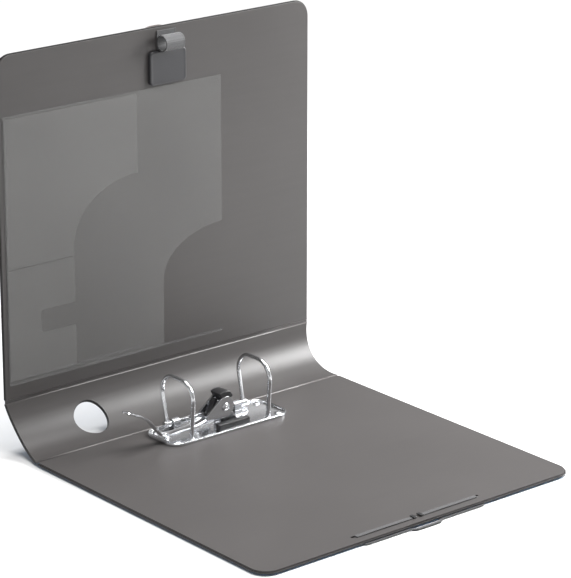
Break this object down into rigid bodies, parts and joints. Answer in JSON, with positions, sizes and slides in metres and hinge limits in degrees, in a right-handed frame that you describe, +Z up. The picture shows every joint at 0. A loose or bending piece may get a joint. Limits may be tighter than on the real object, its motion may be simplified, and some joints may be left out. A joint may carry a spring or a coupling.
{
  "type": "lever arch file",
  "caption": "A4 lever arch file with hinged covers, curved spine, lever-operated ring arches on a riveted plate, inner pockets, pen loop, label pocket and elastic closure.",
  "frame": {"origin": "on the table under the back crease, at the foot of the file", "axes": "+X from the back crease to the fore edge, +Y from the foot to the head, +Z up from the table"},
  "size_m": [0.339, 0.318, 0.3275],
  "materials": {
    "outer_sheet": "satin blue polypropylene with fine concentric ribs",
    "lining": "dark taupe-grey embossed polypropylene",
    "crease": "flexible polypropylene crease",
    "plated_steel": "bright nickel plating",
    "pressed_steel": "nickel-plated pressed steel",
    "black_plastic": "black moulded plastic",
    "elastic": "black woven elastic",
    "clear_film": "clear film",
    "pocket_film": "frosted translucent film",
    "card": "white label card",
    "pad": "grey moulded pad",
    "ribbon": "silver-grey woven ribbon",
    "button": "taupe moulded plastic"
  },
  "bodies": {
    "back_cover": {"back_skin": "outer_sheet", "back_liner": "lining", "back_crease": "crease", "base_plate": "plated_steel", "plate_rivets": "pressed_steel", "post_foot": "plated_steel", "post_head": "plated_steel", "bearing_foot": "pressed_steel", "bearing_head": "pressed_steel", "lever_bracket": "pressed_steel", "pivot_rivet": "pressed_steel", "stop_block": "black_plastic", "return_spring": "pressed_steel", "inner_elastic": "elastic", "elastic_ends": "black_plastic", "band_legs": "elastic"},
    "spine": {"spine_skin": "outer_sheet", "spine_liner": "lining", "front_crease": "crease", "label_holder": "clear_film"},
    "label": {"label_card": "card"},
    "front_cover": {"front_skin": "outer_sheet", "front_liner": "lining", "large_pocket": "pocket_film", "small_pocket": "pocket_film", "pen_pad": "pad", "pen_loop": "ribbon", "closure_button": "button"},
    "lever": {"lever_cheeks": "plated_steel", "lever_arm": "plated_steel", "lever_cap": "black_plastic", "lever_pad": "black_plastic", "roller_pin": "pressed_steel"},
    "roller": {"roller": "pressed_steel"},
    "arches": {"arch_shaft": "plated_steel", "arch_foot": "plated_steel", "arch_head": "plated_steel"},
    "band": {"band_loop": "elastic"}
  },
  "joints": [
    {"name": "spine_fold", "type": "hinge", "parent": "back_cover", "child": "spine", "pos_m": [0, 0.159, 0.0021], "axis": [0, -1, 0], "range_deg": [-47, 0]},
    {"name": "cover_fold", "type": "hinge", "parent": "spine", "child": "front_cover", "pos_m": [-0.04227, 0.159, 0.04152], "axis": [0, -1, 0], "range_deg": [-43, 97]},
    {"name": "lever_lift", "type": "hinge", "parent": "back_cover", "child": "lever", "pos_m": [0.0284, 0.165, 0.0207], "axis": [-1, 0, 0], "range_deg": [0, 86]},
    {"name": "arch_swing", "type": "hinge", "parent": "back_cover", "child": "arches", "pos_m": [0.01, 0.164, 0.0082], "axis": [0, -1, 0], "range_deg": [0, 64.5]},
    {"name": "roller_spin", "type": "hinge", "parent": "lever", "child": "roller", "pos_m": [0.0203, 0.1565, 0.01511], "axis": [1, 0, 0], "continuous": true},
    {"name": "band_wrap", "type": "hinge", "parent": "back_cover", "child": "band", "pos_m": [0.269, 0.159, 0.03106], "axis": [0, 1, 0], "range_deg": [-179.5, 0]},
    {"name": "label_slide", "type": "slide", "parent": "spine", "child": "label", "axis": [0, 1, 0], "range_m": [0, 0.09]}
  ],
  "couplings": [
    {"joint": "arch_swing", "follows": "lever_lift", "ratio": 0.75}
  ]
}
